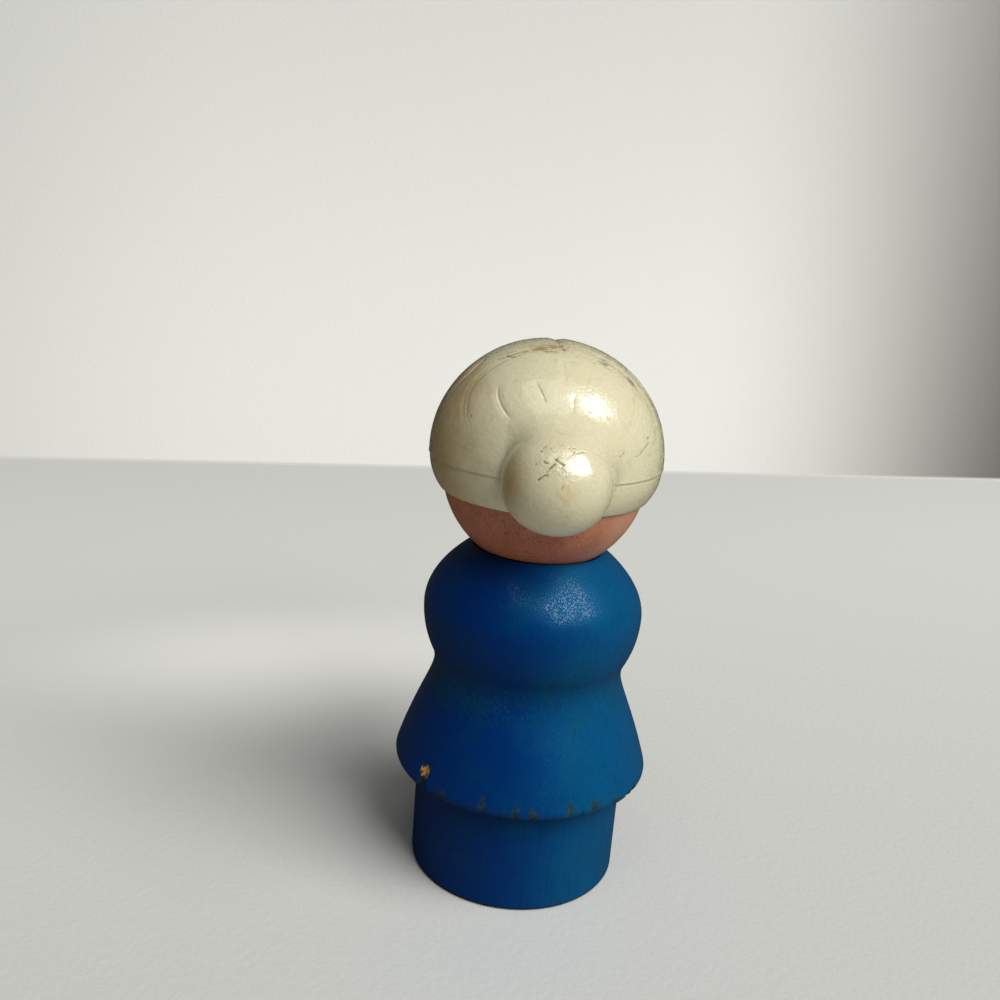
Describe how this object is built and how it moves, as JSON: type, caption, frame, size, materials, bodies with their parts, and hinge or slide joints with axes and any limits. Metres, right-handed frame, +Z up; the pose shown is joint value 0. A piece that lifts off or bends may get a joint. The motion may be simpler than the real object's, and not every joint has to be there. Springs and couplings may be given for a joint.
{
  "type": "peg doll",
  "caption": "Turned wooden peg figure with a flared skirt over a straight round base, a ball head that turns, and a moulded hair cap with a bun.",
  "frame": {"origin": "centre of the flat face under the round base", "axes": "+Z up along the doll's turned axis, +Y towards the bun at the back, -Y the way the face looks, +X towards the doll's left hand side"},
  "size_m": [0.0266, 0.0294, 0.0567],
  "materials": {
    "blue_wood": "turned hardwood under worn satin blue paint",
    "nail_steel": "drawn steel",
    "skin_wood": "turned hardwood under eggshell flesh-coloured paint",
    "hair_plastic": "aged glossy cream plastic",
    "eye_paint": "glossy black paint",
    "mouth_paint": "glossy red paint"
  },
  "bodies": {
    "doll_body": {"body": "blue_wood", "neck_nail": "nail_steel"},
    "doll_head": {"head": "skin_wood", "hair": "hair_plastic", "eyes": "eye_paint", "mouth": "mouth_paint"}
  },
  "joints": [
    {"name": "head_turn", "type": "hinge", "parent": "doll_body", "child": "doll_head", "pos_m": [0, 0, 0.0435], "axis": [0, 0, 1], "continuous": true}
  ]
}
